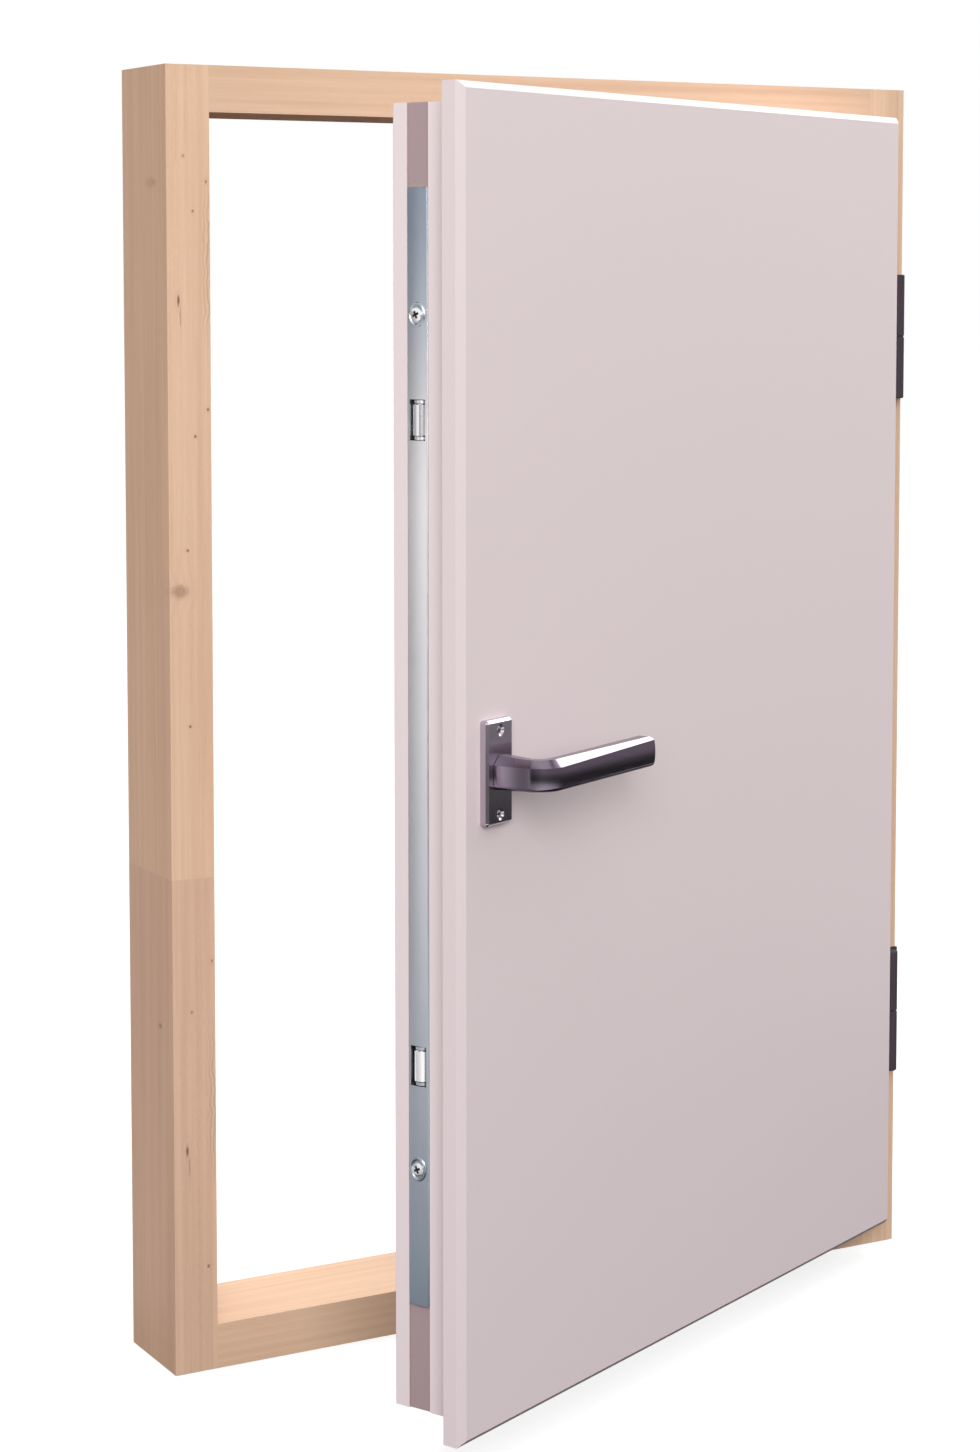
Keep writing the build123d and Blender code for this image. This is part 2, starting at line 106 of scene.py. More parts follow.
class CRAWLDOOR_PG_screws(PropertyGroup):
    """Sizes of the screws and where they sit"""
    rail_head: length("Rail screw head", "Width of a raised head in the lock rail", 10.2 * MM)
    rail_rise: length("Rail screw rise", "Height of that head's crown above its rim", 1.1 * MM)
    washer_width: length("Cup washer width", "Width of the oval cup washer under a rail screw", 13.6 * MM)
    washer_rise: length("Cup washer rise", "Height of that washer's rim above the rail", 1.3 * MM)
    rail_from_top: length("Upper rail screw", "Distance of the upper screw from the rail's top", 87.5 * MM)
    rail_from_foot: length("Lower rail screw", "Distance of the lower screw from the rail's foot", 98.5 * MM)
    plate_head: length("Plate screw head", "Width of a sunk head in the handle plate", 5.4 * MM)
    plate_sink: length("Plate screw depth", "Depth of that head below the plate's face", 1.5 * MM)
    plate_spacing: length("Plate screw spacing", "Distance between the handle plate's screws", 59.0 * MM)
    flush_head: length("Flush screw head", "Width of a flush head in a hinge or strike plate", 6.4 * MM)
    flush_rise: length("Flush screw rise", "Height of that head's crown above its plate", 0.35 * MM)
    hinge_spread: length("Hinge screw spread", "Distance of a hinge screw from the hinge's middle", 36.0 * MM)
    plate_edge: length("Screw to plate edge", "Distance of a hinge screw from its plate's edge", 3.7 * MM)
    strike_edge: length("Screw to strike edge", "Distance of a strike screw from the plate's end", 8.0 * MM)


class CRAWLDOOR_PG_studio(PropertyGroup):
    """Light and camera"""
    key: amount("Key", "Power of the front lamp", 485.0, "POWER")
    rim: amount("Rim", "Power of the small lamp on the right", 12.0, "POWER")
    sill: amount("Sill", "Power of the lamp behind the doorway", 27.0, "POWER")
    ceiling: amount("Ceiling", "Strength of the light from the ceiling", 1.15)
    walls: amount("Walls", "Strength of the light from the walls", 0.42)
    lens: FloatProperty(name="Lens", description="Focal length on a 36 mm film", default=74.695, min=1.0,
                        unit="CAMERA")


class CRAWLDOOR_PG_settings(PropertyGroup):
    """All settings of the door"""
    finishes: PointerProperty(type=CRAWLDOOR_PG_finishes)
    screws: PointerProperty(type=CRAWLDOOR_PG_screws)
    studio: PointerProperty(type=CRAWLDOOR_PG_studio)


# Shader nodes
def feed(tree, socket, value):
    """Links an input to another node's output, or gives it a plain value."""
    if isinstance(value, bpy.types.NodeSocket):
        tree.links.new(value, socket)
    else:
        socket.default_value = value


def set_inputs(tree, shader_node, inputs):
    for name, value in inputs.items():
        feed(tree, shader_node.inputs[name], value)


def place(tree, kind, inputs=None, **options):
    """Adds a node, with its options set and each named or numbered input given a value or a link."""
    made = tree.nodes.new(kind)
    for name, value in options.items():
        setattr(made, name, value)
    set_inputs(tree, made, inputs or {})
    return made


def maths(tree, operation, *values):
    return place(tree, "ShaderNodeMath", dict(enumerate(values)), operation=operation).outputs[0]


def vectors(tree, operation, *values):
    made = place(tree, "ShaderNodeVectorMath", dict(enumerate(values)), operation=operation)
    return made.outputs["Value" if operation in ("LENGTH", "DISTANCE") else "Vector"]


def ranged(tree, value, low, high, to_low=0.0, to_high=1.0, interpolation="SMOOTHSTEP"):
    made = place(tree, "ShaderNodeMapRange", {"Value": value, "From Min": low, "From Max": high,
                                              "To Min": to_low, "To Max": to_high},
                 interpolation_type=interpolation)
    return made.outputs[0]


def noise(tree, vector, scale, detail=2.0, roughness=0.5):
    return place(tree, "ShaderNodeTexNoise", {"Vector": vector, "Scale": scale, "Detail": detail,
                                              "Roughness": roughness}).outputs[0]


def mixed(tree, factor, first, second, blend="MIX"):
    made = place(tree, "ShaderNodeMix", data_type="RGBA", blend_type=blend)
    for socket, value in zip((made.inputs[0], made.inputs[6], made.inputs[7]), (factor, first, second)):
        feed(tree, socket, value)
    return made.outputs[2]


def times(tree, first, second):
    """The product of two colours, or of a colour and a tone."""
    return mixed(tree, 1.0, first, second, "MULTIPLY")


def opaque(rgb):
    return (*rgb, 1.0)


def new_group(name, inputs, outputs):
    """A shader node group with the named sockets; returns it with its input and output nodes."""
    group = bpy.data.node_groups.new(name, "ShaderNodeTree")
    kinds = {"value": "NodeSocketFloat", "vector": "NodeSocketVector", "colour": "NodeSocketColor"}
    for socket_name, kind in inputs:
        group.interface.new_socket(socket_name, in_out="INPUT", socket_type=kinds[kind])
    for socket_name, kind in outputs:
        group.interface.new_socket(socket_name, in_out="OUTPUT", socket_type=kinds[kind])
    return group, group.nodes.new("NodeGroupInput").outputs, group.nodes.new("NodeGroupOutput").inputs


def use_group(tree, name, inputs):
    return place(tree, "ShaderNodeGroup", inputs, node_tree=bpy.data.node_groups[name]).outputs


def split(tree, vector):
    return place(tree, "ShaderNodeSeparateXYZ", {0: vector}).outputs


def make_knot_group():
    """One knot in timber: a dark heart with rings, and the bend that it gives to the grain round it."""
    group, given, result = new_group("Knot", [("Vector", "vector"), ("Centre", "vector"), ("Radii", "vector"),
                                              ("Strength", "value")], [("Heart", "value"), ("Bend", "value")])
    offset = vectors(group, "SUBTRACT", given["Vector"], given["Centre"])
    offset = vectors(group, "DIVIDE", offset, given["Radii"])
    rough = maths(group, "MULTIPLY_ADD", noise(group, given["Vector"], 260.0), 0.5, -0.25)
    away = maths(group, "ADD", vectors(group, "LENGTH", offset), rough)
    rings = maths(group, "SINE", maths(group, "MULTIPLY", away, 17.0))
    rings = maths(group, "MULTIPLY_ADD", rings, 0.14, 0.86)
    heart = maths(group, "MULTIPLY", ranged(group, away, 1.35, 0.35), rings)
    group.links.new(maths(group, "MULTIPLY", heart, given["Strength"]), result["Heart"])
    bend = maths(group, "MULTIPLY", ranged(group, away, 3.6, 0.4), given["Strength"])
    group.links.new(bend, result["Bend"])


def make_pine_group():
    """Planed pine: growth rings round a far pith, fibres and slow changes of tone, all along local Z."""
    group, given, result = new_group(
        "Pine", [("Vector", "vector"), ("Heart", "value"), ("Bend", "value"), ("Early", "colour"),
                 ("Late", "colour"), ("Knot", "colour"), ("Contrast", "value")],
        [("Colour", "colour"), ("Roughness", "value"), ("Height", "value")])
    drawn = vectors(group, "MULTIPLY", given["Vector"], (1.0, 1.0, 0.075))
    rings = place(group, "ShaderNodeTexWave",
                  {"Vector": drawn, "Scale": 88.0, "Distortion": 5.0, "Detail": 2.0, "Detail Scale": 24.0,
                   "Detail Roughness": 0.55, "Phase Offset": maths(group, "MULTIPLY", given["Bend"], 9.0)},
                  wave_type="RINGS", rings_direction="Z", wave_profile="SAW").outputs[1]
    late = maths(group, "POWER", rings, 2.6)
    figure = noise(group, vectors(group, "MULTIPLY", given["Vector"], (1.0, 1.0, 0.11)), 34.0, 3.0, 0.55)
    late = maths(group, "MULTIPLY", late, ranged(group, figure, 0.36, 0.68, 0.25, 1.0))
    fibres = noise(group, vectors(group, "MULTIPLY", given["Vector"], (1.0, 1.0, 0.022)), 780.0, 3.0, 0.6)
    streaks = noise(group, vectors(group, "MULTIPLY", given["Vector"], (1.0, 1.0, 0.012)), 190.0, 4.0, 0.62)
    clouds = noise(group, vectors(group, "MULTIPLY", given["Vector"], (1.0, 1.0, 0.3)), 13.0, 2.0)
    tone = maths(group, "MULTIPLY", late, given["Contrast"])
    tone = maths(group, "ADD", tone, maths(group, "MULTIPLY_ADD", fibres, 0.34, -0.17))
    tone = maths(group, "ADD", tone, maths(group, "MULTIPLY_ADD", streaks, 0.9, -0.45))
    tone = maths(group, "ADD", tone, maths(group, "MULTIPLY_ADD", clouds, 0.5, -0.25))
    tone = maths(group, "ADD", tone, maths(group, "MULTIPLY", given["Bend"], 0.12))
    wood = mixed(group, ranged(group, tone, -0.15, 1.0, 0.0, 1.0, "LINEAR"), given["Early"], given["Late"])
    wood = mixed(group, given["Heart"], wood, given["Knot"])
    group.links.new(wood, result["Colour"])
    dry = maths(group, "MULTIPLY_ADD", fibres, 0.16, 0.44)
    dry = maths(group, "SUBTRACT", dry, maths(group, "MULTIPLY", given["Heart"], 0.12))
    group.links.new(dry, result["Roughness"])
    ridges = maths(group, "MULTIPLY_ADD", late, -0.6, maths(group, "MULTIPLY", fibres, 0.7))
    group.links.new(ridges, result["Height"])


def make_mottle_group():
    """Slow and fine unevenness of a coat: a tone about one, and a height for a bump."""
    group, given, result = new_group(
        "Mottle", [("Vector", "vector"), ("Slow", "value"), ("Fine", "value"), ("Amount", "value")],
        [("Tone", "value"), ("Height", "value")])
    slow = noise(group, given["Vector"], given["Slow"], 3.0)
    fine = noise(group, given["Vector"], given["Fine"], 2.0, 0.6)
    both = maths(group, "MULTIPLY_ADD", fine, 0.35, maths(group, "MULTIPLY_ADD", slow, 1.0, -0.675))
    group.links.new(maths(group, "MULTIPLY_ADD", both, given["Amount"], 1.0), result["Tone"])
    group.links.new(fine, result["Height"])


def make_drawn_group():
    """Lines that drawing, rolling or brushing leaves along local Z on metal, with a few deeper scratches."""
    group, given, result = new_group(
        "Drawn lines", [("Vector", "vector"), ("Across", "value"), ("Along", "value")],
        [("Lines", "value"), ("Height", "value")])
    stretch = place(group, "ShaderNodeCombineXYZ", {"X": given["Across"], "Y": given["Across"],
                                                    "Z": given["Along"]})
    line_space = vectors(group, "MULTIPLY", given["Vector"], stretch.outputs[0])
    lines = noise(group, line_space, 1.0, 3.0, 0.6)
    group.links.new(lines, result["Lines"])
    scratches = ranged(group, noise(group, line_space, 0.37, 1.0), 0.62, 0.72)
    group.links.new(maths(group, "MULTIPLY_ADD", scratches, -0.5, lines), result["Height"])


def new_material(name):
    """An empty material, with its Principled shader and its own Object coordinates."""
    material = bpy.data.materials.new(name)
    material.use_nodes = True
    tree = material.node_tree
    shader = tree.nodes["Principled BSDF"]
    coordinates = tree.nodes.new("ShaderNodeTexCoord").outputs["Object"]
    return material, tree, shader, coordinates


def mapped(tree, vector, location=(0.0, 0.0, 0.0), rotation=(0.0, 0.0, 0.0), scale=(1.0, 1.0, 1.0)):
    return place(tree, "ShaderNodeMapping", {"Vector": vector, "Location": location, "Rotation": rotation,
                                             "Scale": scale}, vector_type="POINT").outputs[0]


def bumped(tree, height, distance, strength=1.0):
    return place(tree, "ShaderNodeBump", {"Height": height, "Distance": distance,
                                          "Strength": strength}).outputs[0]


def shut_space(tree, spot):
    """Places on the leaf as they are when the leaf is shut."""
    return mapped(tree, spot, location=LEAF_TO_ROOM.inverted().translation, rotation=(0.0, 0.0, -OPEN_ANGLE))


def dress(node_name, material):
    """Gives a solid of the frame its finish."""
    solid = frame["nodes"][node_name]
    if not solid.material_slots:
        solid.data.materials.append(material)
    for slot in solid.material_slots:
        slot.material = material


def dress_all(node_names, material):
    for node_name in node_names:
        dress(node_name, material)


# Timber
class TimberKnot:
    """A knot: where its heart meets the surface, its three radii and how dark it is."""

    def __init__(self, centre, radii, strength):
        self.centre = centre
        self.radii = radii
        self.strength = strength


def face_knot(across, height, width, tall, strength):
    """A knot that shows on the front of the lock jamb, across millimetres from its outer arris."""
    return TimberKnot((FRAME_LOW.x + across * MM, FRAME_LOW.y, height * MM),
                      (width / 2 * MM, 30 * MM, tall / 2 * MM), strength)


def side_knot(depth, height, width, tall, strength):
    """A knot that shows on the outer side of the lock jamb, depth millimetres behind its front."""
    return TimberKnot((FRAME_LOW.x, FRAME_LOW.y + depth * MM, height * MM),
                      (15 * MM, width / 2 * MM, tall / 2 * MM), strength)


LOCK_JAMB_KNOTS = (
    face_knot(8.5, 605, 15, 11, 0.50),
    face_knot(8.2, 605, 6, 4.5, 0.45),
    face_knot(9.0, 824, 2.2, 9, 1.0),
    face_knot(10.5, 812, 1.6, 17, 0.40),
    face_knot(11.0, 174, 2.2, 9, 1.0),
    face_knot(12.5, 162, 1.6, 17, 0.40),
    face_knot(13.5, 932, 2.6, 2.6, 0.60),
    face_knot(21.0, 891, 2.0, 2.4, 0.80),
    face_knot(32.0, 913, 2.0, 3.0, 0.80),
    face_knot(32.5, 742, 2.2, 2.6, 0.95),
    face_knot(22.0, 722, 2.2, 2.6, 0.95),
    face_knot(15.0, 636, 2.4, 2.4, 0.95),
    face_knot(16.0, 502, 2.4, 2.6, 0.95),
    face_knot(15.5, 282, 2.0, 2.4, 0.75),
    face_knot(32.5, 320, 2.2, 3.0, 0.60),
    face_knot(28.0, 82, 2.6, 3.2, 0.80),
    side_knot(25.0, 913, 4.5, 4.0, 0.45),
    side_knot(29.0, 913, 24, 8.0, 0.20),
    side_knot(25.0, 268, 6.0, 4.5, 0.60),
)
HINGE_KNOT_X = 0.326
HINGE_KNOT_HEIGHTS = (0.337, 0.69)
CURL_HEIGHTS = (0.85, 0.205)
FINGER_JOINT_HEIGHT = 0.385
LOWER_LENGTH_TINT = (0.93, 0.915, 0.94, 1.0)
# Painted shade on the lock jamb's outer side: a little darker and warmer
SIDE_SHADE_TINT = (0.98, 0.93, 0.92, 1.0)
ALONG_X = (0.0, math.radians(90.0), 0.0)


def curl(tree, place_in_room):
    """Torn, wavy grain along the inner arris of the lock jamb, in two stretches."""
    parts = split(tree, place_in_room)
    near_arris = ranged(tree, parts["X"], FRAME_HIGH.x - 10 * MM, FRAME_HIGH.x - 2 * MM)
    stretches = []
    for height in CURL_HEIGHTS:
        away = maths(tree, "ABSOLUTE", maths(tree, "SUBTRACT", parts["Z"], height))
        stretches.append(ranged(tree, away, 0.085, 0.02))
    waves = place(tree, "ShaderNodeTexWave",
                  {"Vector": mapped(tree, place_in_room, scale=(1.0, 0.1, 0.8)), "Scale": 105.0,
                   "Distortion": 7.0, "Detail": 2.0, "Detail Scale": 0.8},
                  wave_type="BANDS", bands_direction="X").outputs[1]
    lines = maths(tree, "POWER", waves, 3.0)
    there = maths(tree, "MULTIPLY", near_arris, maths(tree, "ADD", *stretches))
    return maths(tree, "MULTIPLY", maths(tree, "MULTIPLY", lines, there), 0.34)


def pine_material(name, finishes, pith, turn=(0.0, 0.0, 0.0), knots=(), joint_height=None, contrast=0.3,
                  shade=1.0, sheen=0.08):
    """Pine for one member: grain along local Z after the turn, round a pith that lies outside the timber."""
    material, tree, shader, place_in_room = new_material(name)
    grain = mapped(tree, place_in_room, location=pith, rotation=turn)
    heart = bend = None
    for knot in knots:
        found = use_group(tree, "Knot", {"Vector": place_in_room, "Centre": knot.centre, "Radii": knot.radii,
                                         "Strength": knot.strength})
        heart = found["Heart"] if heart is None else maths(tree, "MAXIMUM", heart, found["Heart"])
        bend = found["Bend"] if bend is None else maths(tree, "ADD", bend, found["Bend"])
    if joint_height is not None:
        heart = maths(tree, "MAXIMUM", heart, curl(tree, place_in_room))
    wood_inputs = {"Early": opaque(finishes.early_wood * shade), "Late": opaque(finishes.late_wood * shade),
                   "Knot": opaque(finishes.knot_wood), "Contrast": contrast}
    if knots:
        wood_inputs.update({"Heart": heart, "Bend": bend})
    if joint_height is not None:
        parts = split(tree, place_in_room)
        below = ranged(tree, parts["Z"], joint_height + 0.4 * MM, joint_height - 0.4 * MM)
        shift = vectors(tree, "SCALE", (0.017, 0.011, 0.43))
        tree.links.new(below, shift.node.inputs["Scale"])
        grain = vectors(tree, "ADD", grain, shift)
    wood_inputs["Vector"] = grain
    wood = use_group(tree, "Pine", wood_inputs)
    surface = wood["Colour"]
    if joint_height is not None:
        surface = mixed(tree, below, surface, times(tree, surface, LOWER_LENGTH_TINT))
        # Painted shade: the jamb's outer side is darkened and warmed, for the warmer shade that falls on that
        # side.
        side = ranged(tree, parts["X"], FRAME_LOW.x + 0.4 * MM, FRAME_LOW.x + 0.2 * MM)
        surface = mixed(tree, side, surface, times(tree, surface, SIDE_SHADE_TINT))
    set_inputs(tree, shader, {"Base Color": surface, "Roughness": wood["Roughness"],
                              "Specular IOR Level": sheen,
                              "Normal": bumped(tree, wood["Height"], 0.12 * MM, 0.5)})
    return material


class CRAWLDOOR_OT_timber(Operator):
    """Give the frame's four members planed pine, with the knots that show on the lock jamb"""
    bl_idname = "crawl_door.timber"
    bl_label = "Finish frame timber"

    def execute(self, context):
        finishes = context.scene.crawl_door.finishes
        make_knot_group()
        make_pine_group()
        dress("lock_jamb", pine_material("lock_jamb_pine", finishes, (0.283, 0.13, 0.0),
                                         knots=LOCK_JAMB_KNOTS, joint_height=FINGER_JOINT_HEIGHT))
        hinge_knots = [TimberKnot((HINGE_KNOT_X, FRAME_LOW.y, z), (2 * MM, 30 * MM, 4 * MM), 0.6)
                       for z in HINGE_KNOT_HEIGHTS]
        dress("hinge_jamb", pine_material("hinge_jamb_pine", finishes, (-0.40, 0.12, 0.3), knots=hinge_knots))
        dress("head", pine_material("head_pine", finishes, (-1.05, 0.15, 0.2), turn=ALONG_X, contrast=0.14,
                                    shade=0.92, sheen=0.0))
        dress("sill", pine_material("sill_pine", finishes, (0.05, 0.16, 0.7), turn=ALONG_X, contrast=0.2,
                                    shade=0.97))
        return {"FINISHED"}


# Leaf
# Painted light in the coat: painted shade towards the foot and on the lock-side bevel, and how much the lock
# edge is lightened by painted light
FOOT_SHADE_TINT = (0.93, 0.925, 0.95, 1.0)
BEVEL_SHADE_TINT = (0.9, 0.9, 0.9, 1.0)
BEVEL_WIDTH = 5 * MM
EDGE_LIGHT_GAIN = 1.08


class CRAWLDOOR_OT_leaf(Operator):
    """Paint the leaf's panels, stiles and rails, and give its filling a fibrous finish"""
    bl_idname = "crawl_door.leaf"
    bl_label = "Paint leaf"

    def execute(self, context):
        finishes = context.scene.crawl_door.finishes
        make_mottle_group()
        painted = ("hinge_stile", "top_rail", "bottom_rail", "back_panel")
        dress_all(painted, self.paint("satin_leaf_paint", finishes.paint))
        dress("front_panel", self.paint("front_panel_paint", finishes.paint, shade_bevel=True))
        # Painted light: the lock stile's paint is lightened, standing in for the light that falls on the lock
        # edge.
        dress("lock_stile", self.paint("lock_edge_paint", finishes.paint * EDGE_LIGHT_GAIN, bare=finishes.board))
        dress("insulation_core", self.wool(finishes))
        return {"FINISHED"}

    def paint(self, name, rgb, bare=None, shade_bevel=False):
        """Satin paint from a roller with a fine orange peel, and painted shade that darkens it towards the
        foot.
        """
        material, tree, shader, spot = new_material(name)
        coat = use_group(tree, "Mottle", {"Vector": spot, "Slow": 3.0, "Fine": 420.0, "Amount": 0.03})
        # Painted shade: the coat grows darker and a little bluer towards the foot, standing in for light that
        # falls off downwards.
        foot_shade_weight = ranged(tree, split(tree, spot)["Z"], 0.0, 1.0, 1.0, 0.0, "LINEAR")
        coat_and_shade = times(tree, mixed(tree, foot_shade_weight, (1.0, 1.0, 1.0, 1.0), FOOT_SHADE_TINT), coat["Tone"])
        skin = opaque(rgb)
        if bare:
            skin = mixed(tree, self.strip(tree, spot), skin, opaque(bare))
        if shade_bevel:
            # Painted shade on the lock-side bevel, which faces the light.
            coat_and_shade = mixed(tree, self.bevel(tree, spot), coat_and_shade, times(tree, coat_and_shade, BEVEL_SHADE_TINT))
        sheen = maths(tree, "MULTIPLY_ADD", coat["Height"], 0.10, 0.44)
        set_inputs(tree, shader, {"Base Color": times(tree, skin, coat_and_shade), "Roughness": sheen,
                                  "Specular IOR Level": 0.35,
                                  "Normal": bumped(tree, coat["Height"], 0.05 * MM, 0.25)})
        return material

    def strip(self, tree, spot):
        """One on the floor of the shallow strip that runs down the lock edge, where the board is bare."""
        parts = split(tree, shut_space(tree, spot))
        edge = leaf_box("lock_stile")[0].x
        rail_low, rail_high = leaf_box("lock_rail")
        middle, half = (rail_low.y + rail_high.y) / 2, (rail_high.y - rail_low.y) / 2 + 0.4 * MM
        sunk = maths(tree, "GREATER_THAN", parts["X"], edge + 0.6 * MM)
        shallow = maths(tree, "LESS_THAN", parts["X"], edge + 1.6 * MM)
        away = maths(tree, "ABSOLUTE", maths(tree, "SUBTRACT", parts["Y"], middle))
        near = maths(tree, "LESS_THAN", away, half)
        return maths(tree, "MULTIPLY", maths(tree, "MULTIPLY", sunk, shallow), near)

    def bevel(self, tree, spot):
        """One on the bevel down the front panel's lock side, which painted shade darkens."""
        parts = split(tree, shut_space(tree, spot))
        low = leaf_box("front_panel")[0]
        inside = maths(tree, "GREATER_THAN", parts["X"], low.x + 0.1 * MM)
        narrow = maths(tree, "LESS_THAN", parts["X"], low.x + BEVEL_WIDTH)
        outside = maths(tree, "LESS_THAN", parts["Y"], low.y + BEVEL_WIDTH)
        return maths(tree, "MULTIPLY", maths(tree, "MULTIPLY", inside, narrow), outside)

    def wool(self, finishes):
        """Mineral wool: short tangled fibres."""
        material, tree, shader, spot = new_material("mineral_wool")
        tangle = use_group(tree, "Mottle", {"Vector": mapped(tree, spot, scale=(1.0, 1.0, 3.0)), "Slow": 60.0,
                                            "Fine": 900.0, "Amount": 0.6})
        tone = times(tree, opaque(finishes.wool), tangle["Tone"])
        set_inputs(tree, shader, {"Base Color": tone, "Roughness": 0.95, "Specular IOR Level": 0.1,
                                  "Normal": bumped(tree, tangle["Height"], 1.0 * MM)})
        return material


# Metal
class CRAWLDOOR_OT_lock(Operator):
    """Finish the galvanised lock rail, bolts and strikes, and the polished rollers"""
    bl_idname = "crawl_door.lock"
    bl_label = "Finish lock"

    def execute(self, context):
        finishes = context.scene.crawl_door.finishes
        make_drawn_group()
        galvanised = ("lock_rail", "upper_bolt", "lower_bolt", "upper_strike", "lower_strike")
        dress_all(galvanised, self.zinc(finishes))
        dress_all(("upper_roller", "lower_roller"), turned_steel("polished_roller", finishes.polished, 0.17))
        return {"FINISHED"}

    def zinc(self, finishes):
        """Rolled zinc-coated sheet with a painted sheen: brightest at hand height, darker and bluer towards
        its ends.
        """
        material, tree, shader, spot = new_material("galvanised_sheet")
        spangle = place(tree, "ShaderNodeTexVoronoi", {"Vector": mapped(tree, spot, scale=(1.0, 1.0, 0.45)),
                                                       "Scale": 240.0, "Randomness": 1.0}).outputs["Color"]
        cell = place(tree, "ShaderNodeSeparateColor", {0: spangle}).outputs[0]
        rolled = use_group(tree, "Drawn lines", {"Vector": spot, "Across": 1500.0, "Along": 9.0})
        patches = use_group(tree, "Mottle", {"Vector": spot, "Slow": 11.0, "Fine": 60.0, "Amount": 0.10})
        height = split(tree, spot)["Z"]
        low, high = leaf_box("lock_rail")
        # Painted reflection: the sheen peaks at hand height and fades darker and bluer towards the rail's
        # ends and onto the bolts.
        sheen_peak = low.z + 0.71 * (high.z - low.z)
        above = ranged(tree, height, high.z, sheen_peak)
        below = ranged(tree, height, low.z, sheen_peak, interpolation="LINEAR")
        sheen_and_wear = maths(tree, "MINIMUM", above, below)
        skin = mixed(tree, sheen_and_wear, opaque(finishes.zinc_off_sheen), opaque(finishes.zinc))
        tone = maths(tree, "MULTIPLY_ADD", cell, 0.02, 0.95)
        tone = maths(tree, "MULTIPLY_ADD", rolled["Lines"], 0.08, tone)
        tone = maths(tree, "MULTIPLY", tone, patches["Tone"])
        set_inputs(tree, shader, {"Base Color": times(tree, skin, tone), "Metallic": 1.0,
                                  "Roughness": maths(tree, "MULTIPLY_ADD", cell, 0.03, 0.28),
                                  "Normal": bumped(tree, rolled["Height"], 0.01 * MM, 0.15)})
        return material


def turned_steel(name, rgb, roughness):
    """Steel turned on a lathe and polished, with faint rings round its axis."""
    material, tree, shader, spot = new_material(name)
    rings = use_group(tree, "Drawn lines", {"Vector": spot, "Across": 20.0, "Along": 5200.0})
    tone = maths(tree, "MULTIPLY_ADD", rings["Lines"], 0.06, 0.96)
    set_inputs(tree, shader, {"Base Color": times(tree, opaque(rgb), tone), "Metallic": 1.0,
                              "Roughness": maths(tree, "MULTIPLY_ADD", rings["Lines"], 0.05, roughness),
                              "Normal": bumped(tree, rings["Height"], 0.003 * MM, 0.2)})
    return material


class CRAWLDOOR_OT_handle(Operator):
    """Finish the lever, its spindle and its plate in satin nickel"""
    bl_idname = "crawl_door.handle"
    bl_label = "Finish handle"

    def execute(self, context):
        finishes = context.scene.crawl_door.finishes
        neck = Vector((leaf_box("lever")[0].x, leaf_box("handle_plate")[0].y))
        # The lever takes the darker copy of the nickel, a painted reflection.
        dress_all(("lever", "spindle"), brushed_nickel("brushed_lever", finishes.nickel_painted_dark, ALONG_X, neck))
        dress("handle_plate", brushed_nickel("brushed_plate", finishes.nickel, (0.0, 0.0, 0.0)))
        return {"FINISHED"}


def brushed_nickel(name, rgb, turn, neck=None):
    """Fine satin metal, brushed along local Z after the leaf is turned shut and the piece is turned upright.

    A lever's neck carries a painted reflection: bright at the plate and darker towards its bend.
    """
    material, tree, shader, spot = new_material(name)
    shut = shut_space(tree, spot)
    brushed = use_group(tree, "Drawn lines", {"Vector": mapped(tree, shut, rotation=turn), "Across": 3200.0,
                                              "Along": 30.0})
    sheen_and_wear = use_group(tree, "Mottle", {"Vector": spot, "Slow": 40.0, "Fine": 300.0, "Amount": 0.10})
    tone = maths(tree, "MULTIPLY", maths(tree, "MULTIPLY_ADD", brushed["Lines"], 0.14, 0.93), sheen_and_wear["Tone"])
    if neck is not None:
        parts = split(tree, shut)
        # Painted reflection down the lever's neck: bright at the plate, darker towards the bend.
        painted_reflection_fade = ranged(tree, parts["Y"], neck.y - 2 * MM, neck.y - 24 * MM, 0.25, -0.62)
        on_neck = ranged(tree, parts["X"], neck.x + 8 * MM, neck.x + 1 * MM)
        tone = maths(tree, "MULTIPLY", tone, maths(tree, "MULTIPLY_ADD", painted_reflection_fade, on_neck, 1.0))
    set_inputs(tree, shader, {"Base Color": times(tree, opaque(rgb), tone), "Metallic": 1.0,
                              "Roughness": maths(tree, "MULTIPLY_ADD", brushed["Lines"], 0.08, 0.13),
                              "Normal": bumped(tree, brushed["Height"], 0.008 * MM, 0.35)})
    return material


class CRAWLDOOR_OT_hinges(Operator):
    """Finish the dark hinge halves and their steel pins"""
    bl_idname = "crawl_door.hinges"
    bl_label = "Finish hinges"

    def execute(self, context):
        finishes = context.scene.crawl_door.finishes
        coat = powder_coat("hinge_powder_coat", finishes.hinge)
        for level in ("upper", "lower"):
            dress_all((f"{level}_hinge_frame_half", f"{level}_hinge_leaf_half"), coat)
        pin = turned_steel("hinge_pin_steel", finishes.pin, 0.3)
        dress_all(("upper_hinge_pin", "lower_hinge_pin"), pin)
        return {"FINISHED"}


def powder_coat(name, rgb):
    """Dark powder coat: a pebbled skin with a slow change of sheen."""
    material, tree, shader, spot = new_material(name)
    skin = use_group(tree, "Mottle", {"Vector": spot, "Slow": 25.0, "Fine": 1100.0, "Amount": 0.5})
    tone = times(tree, opaque(rgb), skin["Tone"])
    set_inputs(tree, shader, {"Base Color": tone, "Specular IOR Level": 0.10,
                              "Roughness": maths(tree, "MULTIPLY_ADD", skin["Height"], 0.2, 0.46),
                              "Normal": bumped(tree, skin["Height"], 0.08 * MM, 0.5)})
    return material


